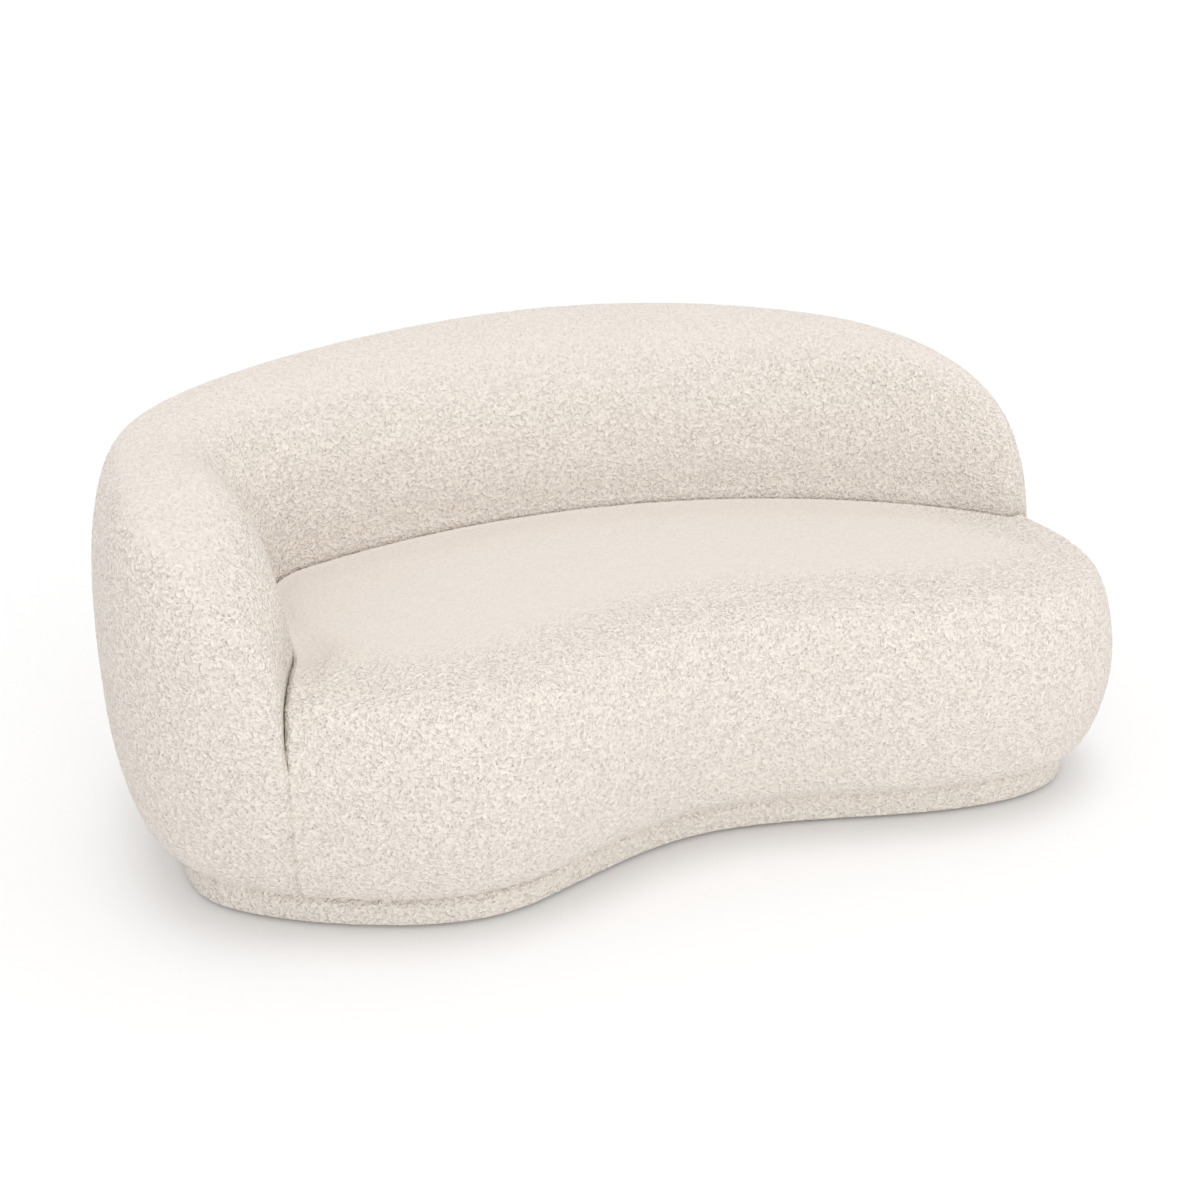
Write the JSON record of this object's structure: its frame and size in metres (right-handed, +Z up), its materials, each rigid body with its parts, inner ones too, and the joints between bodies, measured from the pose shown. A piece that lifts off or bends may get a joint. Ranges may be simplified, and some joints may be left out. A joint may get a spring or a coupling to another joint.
{
  "type": "sofa",
  "caption": "Curved kidney-shaped sofa in cream boucle, with a wrap-round backrest that sinks into the seat at one end, on a recessed upholstered plinth.",
  "frame": {"origin": "on the floor, at the middle of the sofa's bounding box", "axes": "+X along the sofa's length to its right as seen from the front, +Y to the back, +Z up"},
  "size_m": [1.8298, 1.0257, 0.761],
  "materials": {
    "boucle_fabric": "cream curly boucle, matt, soft loops",
    "upholstery_foam": "firm open-cell foam, matt",
    "soft_foam": "soft open-cell foam, matt",
    "plywood": "bare birch plywood",
    "bent_plywood": "bare bent plywood",
    "softwood": "sawn softwood",
    "hardboard": "smooth brown hardboard",
    "elastic_webbing": "woven elastic, matt",
    "dust_cloth": "black non-woven cloth",
    "glide_plastic": "black moulded plastic"
  },
  "bodies": {
    "root": {"glides": "glide_plastic", "dust_cover": "dust_cloth", "plinth_skirt_left": "bent_plywood", "plinth_skirt_right": "bent_plywood", "plinth_skirt_front": "bent_plywood", "plinth_skirt_back": "bent_plywood", "plinth_cross_rails": "plywood", "plinth_blocks": "softwood", "plinth_cover": "boucle_fabric", "platform_board": "plywood", "seat_front_rail": "bent_plywood", "seat_rear_rail": "bent_plywood", "seat_cross_ribs": "plywood", "seat_cross_webbing": "elastic_webbing", "seat_long_webbing": "elastic_webbing", "seat_border_foam": "upholstery_foam", "seat_foam_block": "upholstery_foam", "seat_topper_foam": "soft_foam", "seat_cover": "boucle_fabric", "back_foot_rail": "plywood", "back_middle_rail": "plywood", "back_top_rail": "plywood", "back_rib_1": "plywood", "back_rib_2": "plywood", "back_rib_3": "plywood", "back_rib_4": "plywood", "back_rib_5": "plywood", "back_rib_6": "plywood", "back_outer_board": "bent_plywood", "back_lining": "hardboard", "back_foam": "upholstery_foam", "back_cover": "boucle_fabric"}
  },
  "joints": []
}
